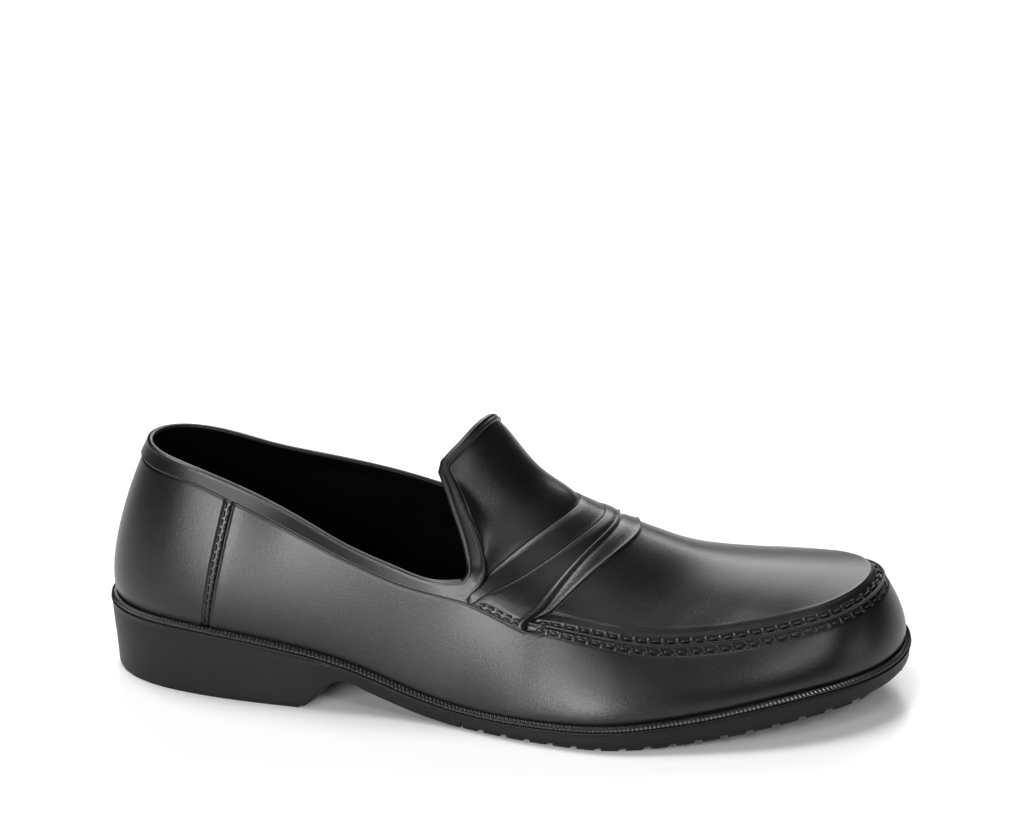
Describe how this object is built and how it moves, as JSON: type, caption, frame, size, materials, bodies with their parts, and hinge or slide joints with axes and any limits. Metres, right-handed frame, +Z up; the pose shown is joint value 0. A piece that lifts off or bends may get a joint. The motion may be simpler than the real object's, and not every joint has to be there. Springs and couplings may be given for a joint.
{
  "type": "rubber overshoe",
  "caption": "Low slip-on rubber overshoe shaped like a moc-toe loafer: hollow one-piece upper with raised tongue and saddle strap, thin welt, and a cupped sole with heel and ribbed forefoot treads",
  "frame": {"origin": "centre of the footprint's box, on the floor plane that heel and forefoot tread stand on", "axes": "X runs along the shoe from heel to toe, Z is up, and Y points to the wearer's left, which is the inner side of this right shoe"},
  "size_m": [0.305, 0.1132, 0.1049],
  "materials": {
    "upper_rubber": "satin",
    "welt_rubber": "satin",
    "sole_rubber": "satin",
    "tread_rubber": "matte"
  },
  "bodies": {
    "root": {"upper": "upper_rubber", "welt": "welt_rubber", "sole": "sole_rubber", "heel_tread": "tread_rubber", "forefoot_tread": "tread_rubber"}
  },
  "joints": []
}
